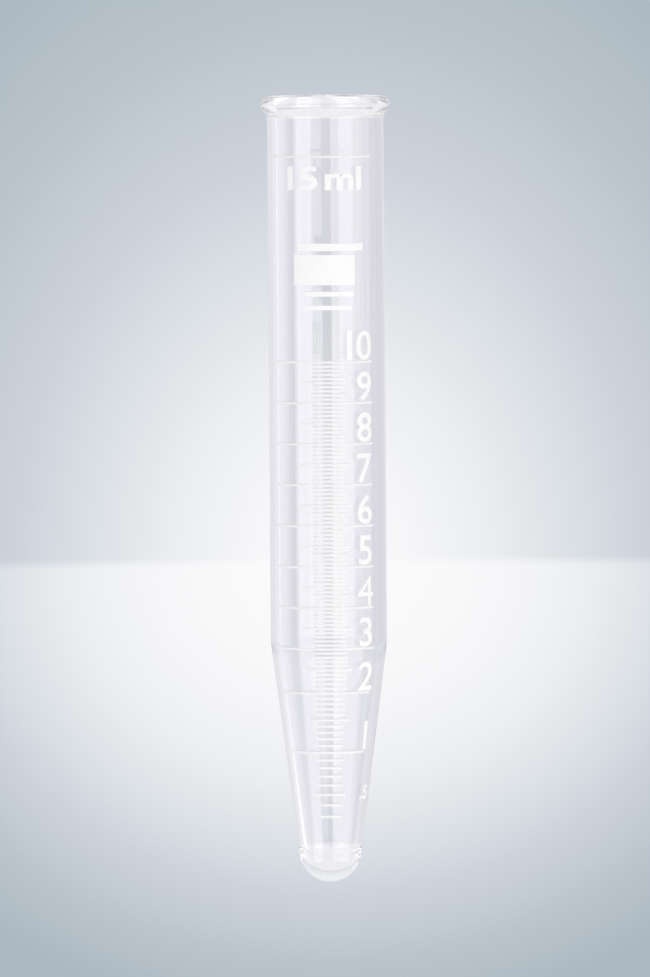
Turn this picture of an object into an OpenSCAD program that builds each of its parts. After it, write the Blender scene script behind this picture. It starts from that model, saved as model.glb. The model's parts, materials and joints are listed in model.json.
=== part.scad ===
// Conical centrifuge tube of clear glass with a beaded rim and a fired enamel scale.
// The glass is one lathe-worked piece, so it is one revolved section: ball tip, cone,
// shoulder, straight body and bead, with a bore that follows them inside. The scale is
// laid out by volume: each line stands where the bore below it holds that much.
// A round-ended tube can't stand on its tip, and it rolls on its side, so it stands
// on its rim: mouth down on the ground, tip up (+Z), scale facing -Y.

/* [Body] */
// Length from the tip to the rim
tube_l = 115; // [100:1:140]
// Outside diameter of the straight body
body_d = 17; // [14:0.1:21]
// Wall of the straight body
wall_t = 1.2; // [1:0.05:1.6]

/* [Rim] */
// How far the bead stands out from the body
bead_out = 0.95; // [0.6:0.05:1.4]
// Height of the bead, which is round on its outer side
rim_h = 2.6; // [2.2:0.1:3.4]
// Radius of the hollow between the bead and the body
rim_fillet_r = 0.8; // [0.4:0.05:1.4]
// Radius of the fire-polished inner edge of the mouth
lip_r = 0.7; // [0.3:0.05:0.9]

/* [Cone] */
// Height above the tip at which the outside starts to narrow
shoulder_h = 36; // [29:0.1:45]
// Radius of the arcs that lead from the straight body into the cone
shoulder_r = 12; // [10:0.5:24]
// Radius of the ball end outside
tip_r = 4.5; // [3.7:0.05:5.4]
// Wall of the cone
cone_wall_t = 1; // [0.8:0.05:1.3]
// Thickness of the glass under the lowest point of the bore
base_t = 2.4; // [1.5:0.1:3.2]

/* [Scale] */
// Lowest line, in tenths of a millilitre
first_tenth = 3; // [2:1:5]
// Highest line of the fine scale, in millilitres
scale_ml = 10; // [8:1:11]
// Nominal volume in millilitres, with a line of its own above the fine scale
nominal_ml = 15; // [12:1:15]
// Height of a line
line_h = 0.35; // [0.2:0.05:0.5]
// Thickness of the fired enamel
enamel_t = 0.05; // [0.03:0.01:0.1]
// Ends of a tenth line, in degrees from the middle of the scale
tenth_arc = [-16, 18]; // [-90:1:90]
// Ends of a half-millilitre line
half_arc = [-28, 24]; // [-90:1:90]
// Ends of a whole-millilitre line
whole_arc = [-62, 50]; // [-90:1:90]

/* [Writing field] */
// Height of the plain field for a pencil note
field_h = 4.4; // [3:0.1:6]
// Where the middle of the field lies between the fine scale and the nominal line, as a share
field_place = 0.45; // [0.25:0.05:0.75]
// Ends of the field, in degrees from the middle of the scale
field_arc = [-33, 29]; // [-90:1:90]

/* [Hidden] */
$fn = 96;

body_r = body_d / 2;
bore_r = body_r - wall_t;
rim_r = body_r + bead_out;

// The bead and the hollow under it are two arcs that touch at the bead's foot.
bead_r = rim_h / 2;
bead = [rim_r - bead_r, tube_l - bead_r];
hollow_x = body_r + rim_fillet_r;
hollow_drop = sqrt((bead_r + rim_fillet_r) ^ 2 - (hollow_x - bead.x) ^ 2);
hollow = [hollow_x, bead.y - hollow_drop];
bead_foot = bead + bead_r * (hollow - bead) / (bead_r + rim_fillet_r);

// The cone touches the ball tip and the shoulder arc, which fixes its half angle.
tip = [0, tip_r];
shoulder = [body_r - shoulder_r, shoulder_h];
taper = asin((shoulder_r - tip_r) / norm(shoulder - tip)) + atan2(shoulder.x, shoulder.y - tip.y);
out = [cos(taper), -sin(taper)];

// The bore's cone runs parallel to the outside, one cone wall in from it.
bore_reach = tip * out + tip_r - cone_wall_t;
bore_tip_r = (bore_reach + base_t * sin(taper)) / (1 - sin(taper));
bore_tip = [0, base_t + bore_tip_r];
bore_shoulder_x = bore_r - shoulder_r;
bore_shoulder = [
    bore_shoulder_x,
    (bore_shoulder_x * cos(taper) + shoulder_r - bore_reach) / sin(taper),
];

// A tapered form is [centre of its ball end, ball radius, centre of its shoulder arc].
OUTSIDE = [tip, tip_r, shoulder];
BORE = [bore_tip, bore_tip_r, bore_shoulder];

// Radius of a tapered form at height h above the tip
function radius_at(form, h) =
    let (ball_top = form[0] + form[1] * out)
    let (arc_end = form[2] + shoulder_r * out)
    h >= form[2].y ? form[2].x + shoulder_r
    : h >= arc_end.y ? form[2].x + sqrt(shoulder_r ^ 2 - (form[2].y - h) ^ 2)
    : h >= ball_top.y ? ball_top.x + (h - ball_top.y) * tan(taper)
    : sqrt(max(0, form[1] ^ 2 - (form[0].y - h) ^ 2));

// Volume of the bore in a slice above height h, in cubic millimetres
function slice(h, step) =
    PI * step / 6 * (
        radius_at(BORE, h) ^ 2
        + 4 * radius_at(BORE, h + step / 2) ^ 2
        + radius_at(BORE, h + step) ^ 2
    );

// Pairs of volume and height, from the bottom of the bore up to the rim
SLICE_H = 0.25;
FILLING = [
    for (h = base_t, volume = 0; h <= tube_l; volume = volume + slice(h, SLICE_H), h = h + SLICE_H)
        [volume, h]
];

// Height above the tip to which a number of millilitres fills the tube
function fill_h(ml) = lookup(1000 * ml, FILLING);

// A line is left out where it would run onto the rim of a tube too small for it.
function fits(ml) = fill_h(ml) < hollow.y - line_h;

function line_arc(tenths) =
    tenths % 10 == 0 ? whole_arc
    : tenths % 5 == 0 ? half_arc
    : tenth_arc;

// Half section of a tapered form, from its ball end up to a height
module tapered_section(form, top_h) {
    ball = form[0];
    ball_r = form[1];
    arc = form[2];
    straight_r = arc.x + shoulder_r;
    intersection() {
        square([rim_r, top_h]);
        union() {
            translate(ball) circle(ball_r);
            translate(arc) circle(shoulder_r);
            polygon([
                ball,
                ball + ball_r * out,
                arc + shoulder_r * out,
                [straight_r, arc.y],
                [straight_r, top_h],
                [0, top_h],
            ]);
        }
    }
}

// Half section of the rim, filled in: the bead, its flat end and the hollow beside it
module rim_section() {
    translate([0, bead.y]) square([bead.x, bead_r]);
    translate(bead) circle(bead_r);
    difference() {
        polygon([bead, [body_r, bead.y], [body_r, hollow.y], hollow, bead_foot]);
        translate(hollow) circle(rim_fillet_r);
    }
}

// What the flame takes off the sharp inner edge of the mouth
module lip_round() {
    edge = [bore_r, tube_l - lip_r];
    difference() {
        translate(edge) square([lip_r, 2 * lip_r]);
        translate(edge + [lip_r, 0]) circle(lip_r);
    }
}

module glass_section() {
    difference() {
        union() {
            tapered_section(OUTSIDE, bead.y);
            rim_section();
        }
        tapered_section(BORE, tube_l + lip_r);
        lip_round();
    }
}

// Turns a tube that is drawn tip down, scale at the front, over onto its rim
module on_its_rim() {
    translate([0, 0, tube_l]) rotate([0, 180, 0]) children();
}

// A band of enamel on the glass, centred on height h, between two angles
module band(h, height, arc) {
    low = h - height / 2;
    high = h + height / 2;
    low_r = radius_at(OUTSIDE, low);
    high_r = radius_at(OUTSIDE, high);
    rotate([0, 0, arc[0] - 90])
        rotate_extrude(angle = arc[1] - arc[0])
            polygon([
                [low_r, low],
                [low_r + enamel_t, low],
                [high_r + enamel_t, high],
                [high_r, high],
            ]);
}

module glass_tube() {
    color("lightcyan", 0.5) on_its_rim() rotate_extrude() glass_section();
}

module scale_print() {
    scale_h = fill_h(scale_ml);
    nominal_h = fill_h(nominal_ml);
    color("white") on_its_rim() {
        for (tenths = [first_tenth : 10 * scale_ml])
            if (fits(tenths / 10))
                band(fill_h(tenths / 10), line_h, line_arc(tenths));
        if (fits(nominal_ml)) {
            band(nominal_h, line_h, whole_arc);
            band(scale_h + field_place * (nominal_h - scale_h), field_h, field_arc);
        }
    }
}

glass_tube();
scale_print();
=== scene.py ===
import json
import math

import bpy
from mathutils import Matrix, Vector

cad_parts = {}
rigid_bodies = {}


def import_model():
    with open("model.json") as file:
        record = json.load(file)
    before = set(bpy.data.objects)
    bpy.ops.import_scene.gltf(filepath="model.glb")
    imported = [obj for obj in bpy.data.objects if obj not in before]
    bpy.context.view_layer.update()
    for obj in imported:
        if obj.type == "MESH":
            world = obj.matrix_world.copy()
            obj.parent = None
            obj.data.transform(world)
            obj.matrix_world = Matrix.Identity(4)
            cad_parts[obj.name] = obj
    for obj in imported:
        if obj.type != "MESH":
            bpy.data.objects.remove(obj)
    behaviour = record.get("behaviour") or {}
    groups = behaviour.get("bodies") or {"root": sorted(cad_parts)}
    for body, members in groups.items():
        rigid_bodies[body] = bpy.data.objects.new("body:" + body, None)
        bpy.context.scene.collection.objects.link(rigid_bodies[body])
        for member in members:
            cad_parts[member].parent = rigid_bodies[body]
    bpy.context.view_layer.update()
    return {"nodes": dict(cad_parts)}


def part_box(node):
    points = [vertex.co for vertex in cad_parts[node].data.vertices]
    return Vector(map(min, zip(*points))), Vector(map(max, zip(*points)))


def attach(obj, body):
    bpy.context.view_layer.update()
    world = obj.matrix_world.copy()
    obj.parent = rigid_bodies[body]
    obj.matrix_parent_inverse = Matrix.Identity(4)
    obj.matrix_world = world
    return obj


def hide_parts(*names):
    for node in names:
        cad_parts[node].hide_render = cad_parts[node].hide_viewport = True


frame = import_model()

# ----------------------------------------------------------------------------- the glass tube
# One piece of clear laboratory glass. It starts as drawn tubing: one end is closed in the flame
# and paddled to a cone with a ball tip, the other is rolled to a bead and fire-polished. Here
# half of its section is drawn round its outline and turned once about the axis, as on the lathe.

MM = 0.001
tube_low, tube_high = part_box("glass_tube")
tube_l = tube_high.z - tube_low.z
body_r = 8.5 * MM
bore_r = body_r - 1.2 * MM
bead_r = 1.3 * MM
bead_out = 0.95 * MM
rim_fillet_r = 0.8 * MM
lip_r = 0.7 * MM
shoulder_h = 36 * MM
shoulder_r = 12 * MM
tip_r = 4.5 * MM
cone_wall_t = 1 * MM
base_t = 2.4 * MM

# The cone touches the ball tip and the shoulder arc, and so does the cone of the bore.
QUARTER = math.pi / 2
shoulder_x = body_r - shoulder_r
shoulder_rise = shoulder_h - tip_r
lean = math.atan2(shoulder_x, shoulder_rise)
taper = lean + math.asin((shoulder_r - tip_r) / math.hypot(shoulder_x, shoulder_rise))
cone_normal = Vector((math.cos(taper), 0, math.sin(taper)))
cone_reach = tip_r * (1 - math.sin(taper)) - cone_wall_t
bore_tip_r = (cone_reach + base_t * math.sin(taper)) / (1 - math.sin(taper))
bore_shoulder_x = bore_r - shoulder_r
bore_shoulder_h = (bore_shoulder_x * math.cos(taper) + shoulder_r - cone_reach) / math.sin(taper)

# The bead runs into the body over a hollow, and the two arcs touch.
bead_x = body_r + bead_out - bead_r
hollow_x = body_r + rim_fillet_r
hollow_rise = math.sqrt((bead_r + rim_fillet_r) ** 2 - (hollow_x - bead_x) ** 2)
hollow_turn = math.atan2(hollow_rise, hollow_x - bead_x)

ARC_STEP = math.radians(5)
HOLD = 0.3 * MM
TURNS = 256
WELD = 0.001 * MM
pen = Vector((0, 0, tube_l))


def draw_line(x, z):
    """Extrudes the outline's end to a point, with a ring near each end that keeps it smooth."""
    way = Vector((x, 0, z)) - pen
    hold = min(HOLD, way.length / 4) * way.normalized()
    for step in (hold, way - 2 * hold, hold):
        bpy.ops.mesh.extrude_region_move(TRANSFORM_OT_translate={"value": step})
        pen.xyz += step


def draw_arc(x, z, turn):
    """Spins the outline's end round a centre in the XZ plane, clockwise for a positive turn."""
    centre = Vector((x, 0, z))
    steps = max(3, math.ceil(abs(turn) / ARC_STEP))
    bpy.ops.mesh.spin(steps=steps, angle=-turn, center=centre, axis=(0, 1, 0))
    arm = pen - centre
    pen.x = centre.x + arm.x * math.cos(turn) + arm.z * math.sin(turn)
    pen.z = centre.z + arm.z * math.cos(turn) - arm.x * math.sin(turn)


bpy.ops.object.select_all(action="DESELECT")
bpy.ops.mesh.primitive_plane_add(size=MM, location=pen)
glass = bpy.context.object
glass.name = "glass_tube_clear"
bpy.ops.object.transform_apply(location=True, rotation=True, scale=True)
bpy.ops.object.mode_set(mode="EDIT")
bpy.ops.mesh.select_all(action="SELECT")
bpy.ops.mesh.merge(type="CENTER")

draw_arc(0, tube_l - tip_r, QUARTER - taper)
cone_end = Vector((shoulder_x, 0, tube_l - shoulder_h)) + shoulder_r * cone_normal
draw_line(cone_end.x, cone_end.z)
draw_arc(shoulder_x, tube_l - shoulder_h, taper)
draw_line(body_r, bead_r + hollow_rise)
draw_arc(hollow_x, bead_r + hollow_rise, -hollow_turn)
draw_arc(bead_x, bead_r, hollow_turn + QUARTER)
draw_line(bore_r + lip_r, 0)
draw_arc(bore_r + lip_r, lip_r, QUARTER)
draw_line(bore_r, tube_l - bore_shoulder_h)
draw_arc(bore_shoulder_x, tube_l - bore_shoulder_h, -taper)
bore_cone_end = Vector((0, 0, tube_l - base_t - bore_tip_r)) + bore_tip_r * cone_normal
draw_line(bore_cone_end.x, bore_cone_end.z)
draw_arc(0, tube_l - base_t - bore_tip_r, taper - QUARTER)

bpy.ops.mesh.select_all(action="SELECT")
bpy.ops.mesh.spin(steps=TURNS, angle=math.tau, center=(0, 0, 0), axis=(0, 0, 1))
bpy.ops.mesh.select_all(action="SELECT")
bpy.ops.mesh.remove_doubles(threshold=WELD)
bpy.ops.mesh.normals_make_consistent(inside=False)
bpy.ops.object.mode_set(mode="OBJECT")
bpy.ops.object.shade_smooth()


def linear(code):
    """An sRGB hex value as the linear colour that a socket takes."""
    parts = [int(code[i : i + 2], 16) / 255 for i in (0, 2, 4)]
    return [c / 12.92 if c <= 0.04045 else ((c + 0.055) / 1.055) ** 2.4 for c in parts] + [1.0]


def add(tree, kind, sockets, **settings):
    """Adds a node with its settings, and sets or links its inputs by name or number."""
    node = tree.nodes.new("ShaderNode" + kind)
    for name, value in settings.items():
        setattr(node, name, value)
    for socket, value in sockets.items():
        if isinstance(value, bpy.types.NodeSocket):
            tree.links.new(value, node.inputs[socket])
        else:
            node.inputs[socket].default_value = value
    return node.outputs


# Clear drawn glass: colourless in so thin a wall, mirror-smooth from the flame, with faint draw
# lines along the tube. They stand a few millimetres apart and only bend what is seen through it.
# Lamps shine straight through, so its shadow is as light as that of thin glass.
DRAW_LINE_W = 2.5 * MM
DRAW_LINE_L = 60 * MM

clear_drawn_glass = bpy.data.materials.new("clear_drawn_glass")
clear_drawn_glass.use_nodes = True
tree = clear_drawn_glass.node_tree
tree.nodes.clear()
place = add(tree, "TexCoord", {})["Object"]
draw_scale = (1 / DRAW_LINE_W, 1 / DRAW_LINE_W, 1 / DRAW_LINE_L)
drawn = add(tree, "Mapping", {"Vector": place, "Scale": draw_scale})["Vector"]
draw_lines = add(tree, "TexNoise", {"Vector": drawn, "Scale": 1.0, "Detail": 2.0})["Fac"]
tint = {0: draw_lines, 6: linear("FFFFFF"), 7: linear("FAFAFC")}
tint = add(tree, "Mix", tint, data_type="RGBA")[2]
bump = {"Height": draw_lines, "Strength": 0.3, "Distance": 0.02 * MM}
skin = add(tree, "Bump", bump)["Normal"]
glass_look = {
    "Base Color": tint,
    "Normal": skin,
    "Roughness": 0.0,
    "IOR": 1.49,
    "Transmission Weight": 1.0,
}
solid = add(tree, "BsdfPrincipled", glass_look)["BSDF"]
lamp_way = add(tree, "LightPath", {})["Is Shadow Ray"]
clear = add(tree, "BsdfTransparent", {"Color": linear("F0F0F2")})["BSDF"]
shader = add(tree, "MixShader", {0: lamp_way, 1: solid, 2: clear})["Shader"]
add(tree, "OutputMaterial", {"Surface": shader})
glass.data.materials.append(clear_drawn_glass)

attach(glass, "root")
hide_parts("glass_tube")

# ------------------------------------------------------------------------ the fired scale lines
# White glass enamel, screened on in strips and fired into the skin of the glass. Each line is a
# low bar, cut square to the glass, that follows the tube round: short at the tenths, longer at
# the halves, longest at the whole millilitres and at the nominal volume.

ENAMEL_T = 0.05 * MM
ENAMEL_BITE = 0.01 * MM
PRINT_STEP = 0.4 * MM
EDGE_ANGLE = math.radians(30)

# Each line is measured on the frame's own print: its lowest and highest point, and the turns of
# its two ends.
cad_print = frame["nodes"]["scale_print"]
bpy.ops.object.select_all(action="DESELECT")
measured = bpy.data.objects.new("measured_print", cad_print.data.copy())
bpy.context.collection.objects.link(measured)
bpy.context.view_layer.objects.active = measured
measured.select_set(True)
bpy.ops.object.mode_set(mode="EDIT")
bpy.ops.mesh.select_all(action="SELECT")
bpy.ops.mesh.remove_doubles(threshold=WELD)
bpy.ops.mesh.separate(type="LOOSE")
bpy.ops.object.mode_set(mode="OBJECT")
bands = []
for strip in bpy.context.selected_objects:
    corners = [v.co for v in strip.data.vertices]
    rows = [v.z for v in corners]
    turns = [math.atan2(v.x, -v.y) for v in corners]
    bands.append((min(rows), max(rows), min(turns), max(turns)))
bpy.ops.object.delete()
bands.sort()
writing_band = max(bands, key=lambda band: band[1] - band[0])
lines = [band for band in bands if band is not writing_band]


def skin_r(z):
    """The glass's outer radius at a height between the hollow under the bead and the ball tip."""
    over = shoulder_h - (tube_l - z)
    if over <= 0:
        return body_r
    if over < shoulder_r * math.sin(taper):
        return shoulder_x + math.sqrt(shoulder_r**2 - over**2)
    return (tip_r + (tube_l - z - tip_r) * math.sin(taper)) / math.cos(taper)


def fire_band(low, high, start, end):
    """Draws a band's section, with melted outer edges, and spins it round between two turns."""
    radial = Vector((math.sin(start), -math.cos(start), 0))
    up = Vector((0, 0, 1))
    melt = ENAMEL_T / 2
    low_r, high_r = skin_r(low), skin_r(high)
    section = [
        (low_r - ENAMEL_BITE) * radial + low * up,
        (low_r + ENAMEL_T - melt) * radial + low * up,
        (low_r + ENAMEL_T) * radial + (low + melt) * up,
        (high_r + ENAMEL_T) * radial + (high - melt) * up,
        (high_r + ENAMEL_T - melt) * radial + high * up,
        (high_r - ENAMEL_BITE) * radial + high * up,
    ]
    bpy.ops.mesh.select_all(action="DESELECT")
    bpy.ops.mesh.primitive_plane_add(size=MM, location=section[0])
    bpy.ops.mesh.merge(type="CENTER")
    for here, there in zip(section, section[1:]):
        bpy.ops.mesh.extrude_region_move(TRANSFORM_OT_translate={"value": there - here})
    bpy.ops.mesh.select_linked()
    bpy.ops.mesh.edge_face_add()
    steps = math.ceil((end - start) * low_r / PRINT_STEP)
    bpy.ops.mesh.spin(steps=steps, angle=start - end, center=(0, 0, 0), axis=(0, 0, 1))


def fire_bands(name, strips):
    """Makes one piece of the print from bands, each given by its two rows and its two turns."""
    bpy.ops.object.select_all(action="DESELECT")
    bpy.ops.mesh.primitive_plane_add(size=MM)
    fired = bpy.context.object
    fired.name = name
    bpy.ops.object.mode_set(mode="EDIT")
    bpy.ops.mesh.select_all(action="SELECT")
    bpy.ops.mesh.delete(type="VERT")
    for strip in strips:
        fire_band(*strip)
    bpy.ops.mesh.select_all(action="SELECT")
    bpy.ops.mesh.normals_make_consistent(inside=False)
    bpy.ops.object.mode_set(mode="OBJECT")
    bpy.ops.object.shade_smooth_by_angle(angle=EDGE_ANGLE)
    return fired


scale_lines = fire_bands("scale_lines", lines)

# White glass enamel, screened and fired: a satin, slightly uneven coat, thinner here and there,
# with the fine grain of its pigment. Its grain is under a tenth of a millimetre across.
ENAMEL_GRAIN = 0.09 * MM
ENAMEL_CLOUD = 1.2 * MM


def fire_enamel(name, full, thin):
    """The enamel, between its colour where the coat is full and its colour where it is thin."""
    enamel = bpy.data.materials.new(name)
    enamel.use_nodes = True
    tree = enamel.node_tree
    tree.nodes.clear()
    place = add(tree, "TexCoord", {})["Object"]
    grain_map = {"Vector": place, "Scale": [1 / ENAMEL_GRAIN] * 3}
    grain_place = add(tree, "Mapping", grain_map)["Vector"]
    grain = add(tree, "TexNoise", {"Vector": grain_place, "Scale": 1.0, "Detail": 1.0})["Fac"]
    cloud_map = {"Vector": place, "Scale": [1 / ENAMEL_CLOUD] * 3}
    cloud_place = add(tree, "Mapping", cloud_map)["Vector"]
    cloud = add(tree, "TexNoise", {"Vector": cloud_place, "Scale": 1.0, "Detail": 3.0})["Fac"]
    coat = {0: cloud, 6: linear(full), 7: linear(thin)}
    coat = add(tree, "Mix", coat, data_type="RGBA")[2]
    gloss = add(tree, "MapRange", {"Value": cloud, "To Min": 0.5, "To Max": 0.65})["Result"]
    skin = add(tree, "Bump", {"Height": grain, "Strength": 0.4, "Distance": 0.004 * MM})["Normal"]
    enamel_look = {"Base Color": coat, "Roughness": gloss, "Normal": skin, "IOR": 1.52}
    shader = add(tree, "BsdfPrincipled", enamel_look)["BSDF"]
    add(tree, "OutputMaterial", {"Surface": shader})
    return enamel


# Broad areas carry a full coat. A fine line takes less enamel from the screen and looks duller.
fired_white_enamel = fire_enamel("fired_white_enamel", "F7F4F5", "EFECEE")
fine_line_enamel = fire_enamel("fine_line_enamel", "F1EEF0", "E7E4E7")


def finish_print(piece, enamel):
    """Gives a piece of the print its enamel and its place in the frame."""
    piece.data.materials.clear()
    piece.data.materials.append(enamel)
    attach(piece, "root")
    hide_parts("scale_print")


finish_print(scale_lines, fine_line_enamel)

# --------------------------------------------------------------------------- the writing field
# A plain field of the same enamel, for marking the tube in pencil, with a plain bar at its rim
# side and two finer ones at its tip side. They are screened and fired with the scale.

# Each bar: its row from the middle of the field, its height, and its ends in degrees
FIELD_BARS = [(-3.3, 1.1, -29, 38), (3.5, 0.75, -22, 28), (5.5, 0.7, -23, 26)]

field_row = (writing_band[0] + writing_band[1]) / 2
field_strips = [writing_band]
for row, tall, start, end in FIELD_BARS:
    low = field_row + (row - tall / 2) * MM
    field_strips.append((low, low + tall * MM, math.radians(-end), math.radians(-start)))
writing_field = fire_bands("writing_field", field_strips)
finish_print(writing_field, fired_white_enamel)

# -------------------------------------------------------------------------------- the numerals
# The whole millilitres are numbered to the right of the scale, read with the open rim at the
# top. Each number stands on its line, in plain bold figures, and is fired with the scale.

NUMERAL_H = 4.3 * MM
NUMERAL_ARC = 5.85 * MM
TENS_ARC = 3.35 * MM
NUMERAL_GAP = 0.08 * MM
NUMERAL_WEIGHT = 0.012
HALF_WEIGHT = 0.03
CURVE_STEPS = 6
WORD_SPACE = 0.4


def letter(words, height, arc, row, stretch=1.0, weight=NUMERAL_WEIGHT):
    """Flat lettering in the XZ plane, its foot on a row and its middle at an arc to the right."""
    bpy.ops.object.select_all(action="DESELECT")
    bpy.ops.object.text_add()
    text = bpy.context.object
    text.data.body = words
    text.data.offset = weight
    text.data.space_word = WORD_SPACE
    text.data.resolution_u = CURVE_STEPS
    bpy.ops.object.convert(target="MESH")
    text = bpy.context.object
    corners = [v.co for v in text.data.vertices]
    left, right = min(v.x for v in corners), max(v.x for v in corners)
    foot, top = min(v.y for v in corners), max(v.y for v in corners)
    text.location = (-(left + right) / 2, -foot, 0)
    bpy.ops.object.transform_apply(location=True, rotation=False, scale=False)
    grow = height / (top - foot)
    text.scale = (grow * stretch, grow, 1)
    text.rotation_euler = (QUARTER, math.pi, 0)
    text.location = (-arc, 0, row)
    bpy.ops.object.transform_apply(location=True, rotation=True, scale=True)
    return text


def wrap(piece):
    """Cuts flat lettering into small cells, bends it round the glass and gives it thickness."""
    bpy.ops.object.select_all(action="DESELECT")
    piece.select_set(True)
    bpy.context.view_layer.objects.active = piece
    bpy.ops.object.mode_set(mode="EDIT")
    corners = [v.co for v in piece.data.vertices]
    for way in (Vector((1, 0, 0)), Vector((0, 0, 1))):
        reach = [corner.dot(way) for corner in corners]
        first_cut = math.ceil(min(reach) / PRINT_STEP)
        last_cut = math.ceil(max(reach) / PRINT_STEP)
        for cut in range(first_cut, last_cut):
            bpy.ops.mesh.select_all(action="SELECT")
            bpy.ops.mesh.bisect(plane_co=cut * PRINT_STEP * way, plane_no=way)
    bpy.ops.mesh.select_all(action="SELECT")
    bpy.ops.mesh.remove_doubles(threshold=WELD)
    bpy.ops.object.mode_set(mode="OBJECT")
    corners = [v.co for v in piece.data.vertices]
    rows = [v.z for v in corners]
    arcs = [v.x for v in corners]
    r = skin_r((min(rows) + max(rows)) / 2)
    bend = piece.modifiers.new("bend", "SIMPLE_DEFORM")
    bend.deform_method = "BEND"
    bend.deform_axis = "Z"
    bend.angle = (max(arcs) - min(arcs)) / r
    bpy.ops.object.modifier_apply(modifier=bend.name)
    piece.location.y = -r
    bpy.ops.object.transform_apply(location=True, rotation=False, scale=False)
    cling = piece.modifiers.new("cling", "SHRINKWRAP")
    cling.target = glass
    bpy.ops.object.modifier_apply(modifier=cling.name)
    coat = piece.modifiers.new("coat", "SOLIDIFY")
    coat.thickness = ENAMEL_T + ENAMEL_BITE
    coat.offset = 1 - 2 * ENAMEL_BITE / coat.thickness
    bpy.ops.object.modifier_apply(modifier=coat.name)
    bpy.ops.object.shade_smooth_by_angle(angle=EDGE_ANGLE)


# Only a whole millilitre's line spans this much. Between the 1 and the tip, only the line of the
# half ends past this turn.
WHOLE_SPAN = math.radians(100)
HALF_END = math.radians(25)

whole_lines = [band for band in lines if band[3] - band[2] > WHOLE_SPAN]
nominal_line = whole_lines[0]
figures = []
for value, line in zip(range(10, 0, -1), whole_lines[1:]):
    foot = line[0] - NUMERAL_GAP
    # The 4 is drawn thinner, which keeps its small eye open.
    weight = 0.0 if value == 4 else NUMERAL_WEIGHT
    figures.append(letter(str(value % 10), NUMERAL_H, NUMERAL_ARC, foot, weight=weight))
    if value == 10:
        figures.append(letter("1", NUMERAL_H, TENS_ARC, foot))
tip_lines = [band for band in lines if band[0] > whole_lines[-1][1]]
half_line = [band for band in tip_lines if band[3] > HALF_END][0]
half_foot = half_line[0] + NUMERAL_H / 4
figures.append(letter(".5", NUMERAL_H / 2, NUMERAL_ARC, half_foot, weight=HALF_WEIGHT))

for figure in figures:
    wrap(figure)
for figure in figures:
    figure.select_set(True)
numerals = figures[0]
bpy.context.view_layer.objects.active = numerals
bpy.ops.object.join()
numerals.name = "numerals"
finish_print(numerals, fired_white_enamel)

# ----------------------------------------------------------------------------- the volume mark
# The nominal volume, with its unit, is lettered under its own line in the same enamel.
# Its letters are wide and bold, and it stands just to the left of the middle of the scale.

VOLUME_H = 3.5 * MM
VOLUME_ARC = -0.25 * MM
VOLUME_GAP = 1.2 * MM
VOLUME_STRETCH = 1.3
VOLUME_WEIGHT = 0.03

foot = nominal_line[1] + VOLUME_GAP + VOLUME_H
mark = letter("15 ml", VOLUME_H, VOLUME_ARC, foot, VOLUME_STRETCH, VOLUME_WEIGHT)
wrap(mark)
mark.name = "volume_mark"
finish_print(mark, fired_white_enamel)

# ----------------------------------------------------------------------------------- the floor
# A pale satin board, on which the tube stands on its rim. The camera looks up from just under
# its level, so the board shows only from above and keeps its light and its shadow.

BOARD_SIDE = 6
BOARD_SEEN_WHITE = 0.55
BOARD_GLASS_WHITE = 0.7
# Where the painted pool of light round the tube's foot starts to fade, and where it is gone
BOARD_PAINTED_POOL_R = 50 * MM
BOARD_FADE_R = 300 * MM
BOARD_FIBRE = MM / 0.9

bpy.ops.object.select_all(action="DESELECT")
bpy.ops.mesh.primitive_plane_add(size=BOARD_SIDE)
floor = bpy.context.object
floor.name = "floor"

# Smooth pale board: a faint fibre in its colour, a little over a millimetre across, and a painted
# pool of light round the foot of the tube, in the white that it shows to the camera and the
# glass.
pale_board = bpy.data.materials.new("pale_board")
pale_board.use_nodes = True
tree = pale_board.node_tree
tree.nodes.clear()
place = add(tree, "TexCoord", {})["Object"]
fibre = {"Vector": place, "Scale": 1 / BOARD_FIBRE, "Detail": 2.0}
fibre = add(tree, "TexNoise", fibre)["Fac"]
board = {0: fibre, 6: linear("E3E8EE"), 7: linear("DFE4EA")}
board = add(tree, "Mix", board, data_type="RGBA")[2]
surface = add(tree, "BsdfPrincipled", {"Base Color": board, "Roughness": 0.6})["BSDF"]
path = add(tree, "LightPath", {})
seen = path["Is Camera Ray"]
in_glass = {0: path["Is Glossy Ray"], 1: path["Is Transmission Ray"]}
glass_sees = add(tree, "Math", in_glass, operation="MAXIMUM")[0]
seen_share = add(tree, "Math", {0: seen, 1: BOARD_SEEN_WHITE}, operation="MULTIPLY")[0]
glass_share = add(tree, "Math", {0: glass_sees, 1: BOARD_GLASS_WHITE}, operation="MULTIPLY")[0]
share = add(tree, "Math", {0: seen_share, 1: glass_share}, operation="MAXIMUM")[0]
from_tube = add(tree, "VectorMath", {0: place}, operation="LENGTH")["Value"]
fade = {"Value": from_tube, "From Min": BOARD_PAINTED_POOL_R, "From Max": BOARD_FADE_R}
fade = add(tree, "MapRange", fade, interpolation_type="SMOOTHSTEP")["Result"]
# Painted light: the board's white is brighter in a pool round the tube's foot and greyer further
# out.
painted_light_pool = {0: fade, 6: linear("FDFDFD"), 7: linear("E2E4E9")}
painted_light_pool = add(tree, "Mix", painted_light_pool, data_type="RGBA")[2]
white = add(tree, "Emission", {"Color": painted_light_pool, "Strength": 1.0})["Emission"]
lit = add(tree, "MixShader", {0: share, 1: surface, 2: white})["Shader"]
underside = add(tree, "NewGeometry", {})["Backfacing"]
away = add(tree, "Math", {0: underside, 1: seen}, operation="MULTIPLY")[0]
nothing = add(tree, "BsdfTransparent", {})["BSDF"]
see_through = add(tree, "MixShader", {0: away, 1: lit, 2: nothing})["Shader"]
add(tree, "OutputMaterial", {"Surface": see_through})
floor.data.materials.append(pale_board)

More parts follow.
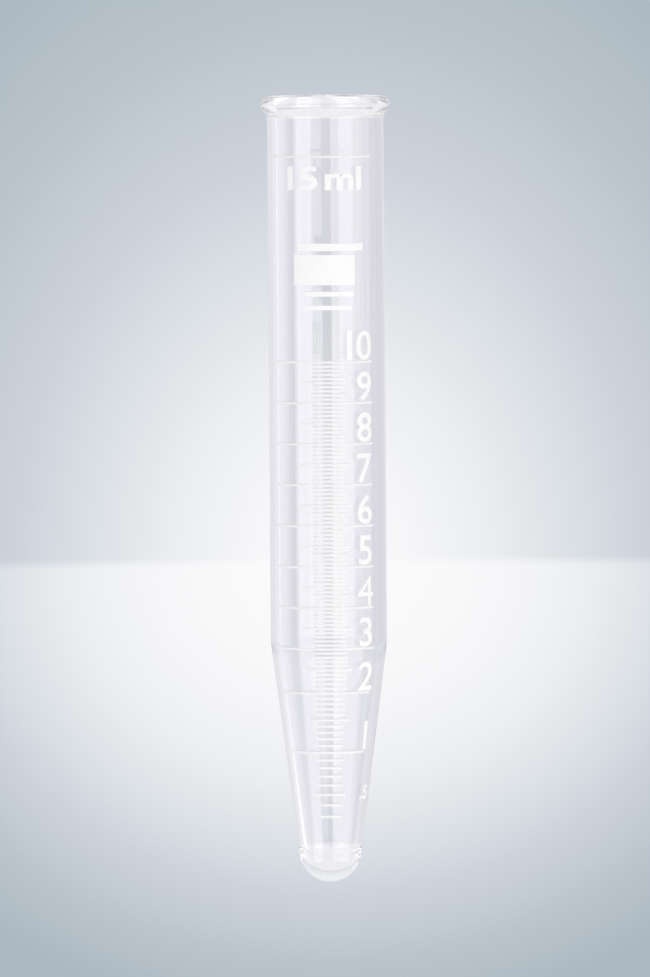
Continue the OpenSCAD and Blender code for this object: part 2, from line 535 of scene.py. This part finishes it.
# -------------------------------------------------------------------------------- the backdrop
# A studio sweep far behind the tube: a lit glow that falls off to cool grey, brighter and wider
# past a soft horizon. The tube is seen against it, and its walls gather light from all round it,
# so the glass is given the glow wider and more even, with a faint seam behind the tube's axis.

GLOW_RISE = math.radians(3.885)
# Half the glow's width and height under the horizon and over it, as parts of a unit direction
GLOW_UNDER = (0.0286, 0.03655)
GLOW_OVER = (0.0356, 0.0302)
GLOW_FALL_UNDER = 1.0
GLOW_FALL_OVER = 1.7
GLASS_GLOW_WIDER = 10
GLASS_GLOW_RISE = 0.0035
SWEEP_REACH = 1.75
SWEEP_COLOURS = [
    (0.0, "FBFBFC"),
    (0.25, "F6F6F8"),
    (0.53, "EAECEE"),
    (0.85, "D6DCE2"),
    (1.0, "CDD3DB"),
    (1.37, "BBC4CD"),
    (1.75, "ACB9C2"),
]
# Each zone: what it is measured by, where it starts, where it is full, and how it comes in
ZONES = {
    "over_horizon": ("off_up", -0.0006, 0.0006, "SMOOTHSTEP"),
    "seam": ("off_side", 0.013, 0.006, "SMOOTHSTEP"),
    "seam_length": ("off_up", -0.032, -0.022, "SMOOTHSTEP"),
    "glass_sides": ("off_side", 0.01, 0.05, "SMOOTHSTEP"),
    "glass_ends": ("off_middle", 0.0255, 0.036, "SMOOTHSTEP"),
    "seen_far": ("off_by", 0.065, 0.13, "SMOOTHSTEP"),
    "shaded_side": ("across", -0.15, -0.32, "SMOOTHSTEP"),
    "lit_side": ("across", 0.1, 0.2, "SMOOTHSTEP"),
    "behind": ("back", -0.2, 0.0, "LINEAR"),
    "below": ("up", -0.02, -0.2, "LINEAR"),
    "overhead": ("up", 0.12, 0.24, "LINEAR"),
}

world = bpy.data.worlds.new("studio_sweep")
bpy.context.scene.world = world
world.use_nodes = True
tree = world.node_tree
tree.nodes.clear()
path = add(tree, "LightPath", {})
seen = path["Is Camera Ray"]
in_glass = {0: path["Is Glossy Ray"], 1: path["Is Transmission Ray"]}
glass_sees = add(tree, "Math", in_glass, operation="MAXIMUM")[0]

# The direction that is looked in, and how far it is off the middle of the glow
way = add(tree, "TexCoord", {})["Generated"]
way_parts = add(tree, "SeparateXYZ", {0: way})
glow = (0, math.cos(GLOW_RISE), math.sin(GLOW_RISE))
off_glow = add(tree, "VectorMath", {0: way, 1: glow}, operation="SUBTRACT")["Vector"]
off_parts = add(tree, "SeparateXYZ", {0: off_glow})
off_middle = {0: off_parts["Z"], 1: GLASS_GLOW_RISE}
off_middle = add(tree, "Math", off_middle, operation="SUBTRACT")[0]
measures = {
    "across": way_parts["X"],
    "back": way_parts["Y"],
    "up": way_parts["Z"],
    "off_up": off_parts["Z"],
    "off_side": add(tree, "Math", {0: off_parts["X"]}, operation="ABSOLUTE")[0],
    "off_middle": add(tree, "Math", {0: off_middle}, operation="ABSOLUTE")[0],
    "off_by": add(tree, "VectorMath", {0: off_glow}, operation="LENGTH")["Value"],
}
zone = {}
for name, (measure, start, full, ease) in ZONES.items():
    ends = {"Value": measures[measure], "From Min": start, "From Max": full}
    zone[name] = add(tree, "MapRange", ends, interpolation_type=ease)["Result"]

# The glow, which falls off through the colours of the sweep
under, over = [(1 / wide, 1, 1 / tall) for wide, tall in (GLOW_UNDER, GLOW_OVER)]
spread = {0: zone["over_horizon"], 4: under, 5: over}
spread = add(tree, "Mix", spread, data_type="VECTOR")[1]
narrow = {"Value": glass_sees, "To Min": 1.0, "To Max": 1 / GLASS_GLOW_WIDER}
narrow = add(tree, "MapRange", narrow)["Result"]
narrow = add(tree, "CombineXYZ", {0: narrow, 1: 1.0, 2: 1.0})["Vector"]
spread = add(tree, "VectorMath", {0: spread, 1: narrow}, operation="MULTIPLY")["Vector"]
spread_out = add(tree, "VectorMath", {0: off_glow, 1: spread}, operation="MULTIPLY")["Vector"]
reach = add(tree, "VectorMath", {0: spread_out}, operation="LENGTH")["Value"]
power = {"Value": zone["over_horizon"], "To Min": GLOW_FALL_UNDER, "To Max": GLOW_FALL_OVER}
power = add(tree, "MapRange", power)["Result"]
fall = add(tree, "Math", {0: reach, 1: power}, operation="POWER")["Value"]
along = add(tree, "Math", {0: fall, 1: SWEEP_REACH}, operation="DIVIDE")["Value"]
ramp = add(tree, "ValToRGB", {0: along})["Color"]
# A stop that moves past another changes places with it, so the colours wait for all the places.
stops = ramp.node.color_ramp.elements
while len(stops) < len(SWEEP_COLOURS):
    stops.new(0.5)
for stop, (at, _) in zip(stops, SWEEP_COLOURS):
    stop.position = at / SWEEP_REACH
for stop, (_, code) in zip(stops, SWEEP_COLOURS):
    stop.color = linear(code)

# The seam behind the tube's axis, which only the glass shows
seam = {0: zone["seam"], 1: zone["seam_length"]}
seam = add(tree, "Math", seam, operation="MULTIPLY")[0]
seam = add(tree, "Math", {0: seam, 1: glass_sees}, operation="MULTIPLY")[0]
ramp = {0: seam, 6: ramp, 7: linear("F2F2F3")}
ramp = add(tree, "Mix", ramp, data_type="RGBA", blend_type="MULTIPLY")[2]

# The far sides of the sweep, one a little shaded and one a little lit
far = {0: zone["shaded_side"], 6: linear("E1E1E7"), 7: linear("D9D8DF")}
far = add(tree, "Mix", far, data_type="RGBA")[2]
far = {0: zone["lit_side"], 6: far, 7: linear("E6E5EB")}
far = add(tree, "Mix", far, data_type="RGBA")[2]
glass_far = {0: zone["glass_sides"], 1: zone["glass_ends"]}
glass_far = add(tree, "Math", glass_far, operation="MAXIMUM")[0]
beyond = {0: glass_sees, 2: zone["seen_far"], 3: glass_far}
beyond = add(tree, "Mix", beyond, data_type="FLOAT")[0]
sweep = {0: beyond, 6: ramp, 7: far}
sweep = add(tree, "Mix", sweep, data_type="RGBA")[2]

# The rest of the studio: the dimmer room in front, the white under the board, the ceiling
studio = {0: zone["behind"], 6: linear("B4AEB4"), 7: sweep}
studio = add(tree, "Mix", studio, data_type="RGBA")[2]
studio = {0: zone["below"], 6: studio, 7: linear("F8F8FA")}
studio = add(tree, "Mix", studio, data_type="RGBA")[2]
ceiling = add(tree, "Math", {0: zone["overhead"], 1: glass_sees}, operation="MULTIPLY")[0]
studio = {0: ceiling, 6: studio, 7: linear("F0F0F3")}
studio = add(tree, "Mix", studio, data_type="RGBA")[2]

# It shows to the camera and in the glass. The other surfaces get a plain grey-white light.
shows = add(tree, "Math", {0: seen, 1: glass_sees}, operation="MAXIMUM")[0]
light = {0: shows, 6: linear("DFE2E0"), 7: studio}
light = add(tree, "Mix", light, data_type="RGBA")[2]
backdrop = add(tree, "Background", {"Color": light, "Strength": 1.0})["Background"]
add(tree, "OutputWorld", {"Surface": backdrop})

# ------------------------------------------------------------------------------ the softboxes
# Three upright softboxes stand round the tube and draw its long highlights. Each is given by its
# turn from the front towards +X, its width as seen from the tube, its brightness and its colour.

SOFTBOX_FAR = 1.2
SOFTBOX_TALL = 0.95
SOFTBOX_FOOT = 5 * MM
SOFTBOXES = [
    ("left", 48, 36, 1.6, "FDFAFA"),
    ("left_rear", 111, 38, 0.5, "FDFAF8"),
    ("right", -44, 68, 1.55, "FDFAF3"),
]

for name, turn, angle, brightness, cast in SOFTBOXES:
    turn = math.radians(turn)
    wide = 2 * SOFTBOX_FAR * math.tan(math.radians(angle) / 2)
    middle = SOFTBOX_TALL / 2 + SOFTBOX_FOOT
    spot = (SOFTBOX_FAR * math.sin(turn), -SOFTBOX_FAR * math.cos(turn), middle)
    bpy.ops.object.light_add(type="AREA", location=spot, rotation=(QUARTER, 0, turn))
    box = bpy.context.object
    box.name = "softbox_" + name
    box.data.shape = "RECTANGLE"
    box.data.size = wide
    box.data.size_y = SOFTBOX_TALL
    box.data.energy = brightness * math.pi * wide * SOFTBOX_TALL
    box.data.color = linear(cast)[:3]
    box.visible_camera = False

# ---------------------------------------------------------------------------------- the camera
# It looks up at the tube's middle from a little below the board, so that the open rim is seen
# from its own side, and is turned over, so that the rim is at the top of the frame.

CAMERA_FAR = 1.6
CAMERA_UP = math.radians(3.5)
CAMERA_LEAN = math.radians(0.42)
CAMERA_ASIDE = 0.3 * MM
CAMERA_DROP = 0.15 * MM
FRAME_TALL = 142.8 * MM
CAMERA_REACH = 20
SENSOR_MM = 36
BOUNCES = 128

aim = Vector((-CAMERA_ASIDE, 0, tube_l / 2 - CAMERA_DROP))
bpy.ops.object.camera_add(
    location=aim - CAMERA_FAR * Vector((0, math.cos(CAMERA_UP), math.sin(CAMERA_UP))),
    rotation=(QUARTER - CAMERA_UP, math.pi + CAMERA_LEAN, 0),
)
camera = bpy.context.object
camera.data.lens = SENSOR_MM * CAMERA_FAR / FRAME_TALL
camera.data.clip_end = CAMERA_REACH
bpy.context.scene.camera = camera
bpy.context.scene.view_settings.view_transform = "Standard"

# Light that runs along inside the wall is cut off by fewer bounces and leaves dark lines.
bpy.context.scene.cycles.max_bounces = BOUNCES
bpy.context.scene.cycles.glossy_bounces = BOUNCES
bpy.context.scene.cycles.transmission_bounces = BOUNCES
